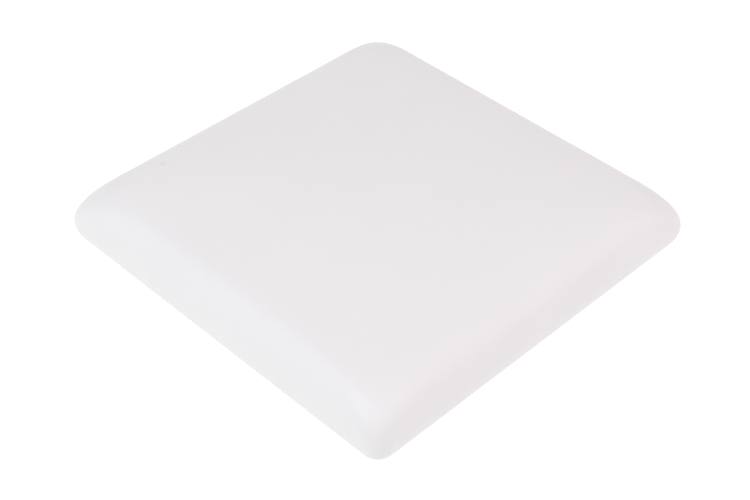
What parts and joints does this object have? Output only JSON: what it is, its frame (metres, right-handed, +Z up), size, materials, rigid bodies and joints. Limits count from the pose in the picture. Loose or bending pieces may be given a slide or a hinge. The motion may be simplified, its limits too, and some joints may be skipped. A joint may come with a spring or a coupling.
{
  "type": "raised pavement marker",
  "caption": "Square non-reflective raised pavement marker: white moulded shell with large rounded edges, potted with resin, gritted underside for bonding to a road.",
  "frame": {"origin": "middle of the square footprint, on the road surface that the rim stands on", "axes": "+Z up out of the road, through the middle of the crown; +X and +Y square to the straight sides"},
  "size_m": [0.1016, 0.1016, 0.0165],
  "materials": {
    "shell_plastic": "satin",
    "potting_resin": "matte",
    "base_resin": "matte",
    "glass_fibre": "satin",
    "quartz_grit": "matte"
  },
  "bodies": {
    "root": {"shell": "shell_plastic", "potting_fill": "potting_resin", "base_pour": "base_resin", "scrim_warp": "glass_fibre", "scrim_weft": "glass_fibre", "sand_grit": "quartz_grit"}
  },
  "joints": []
}
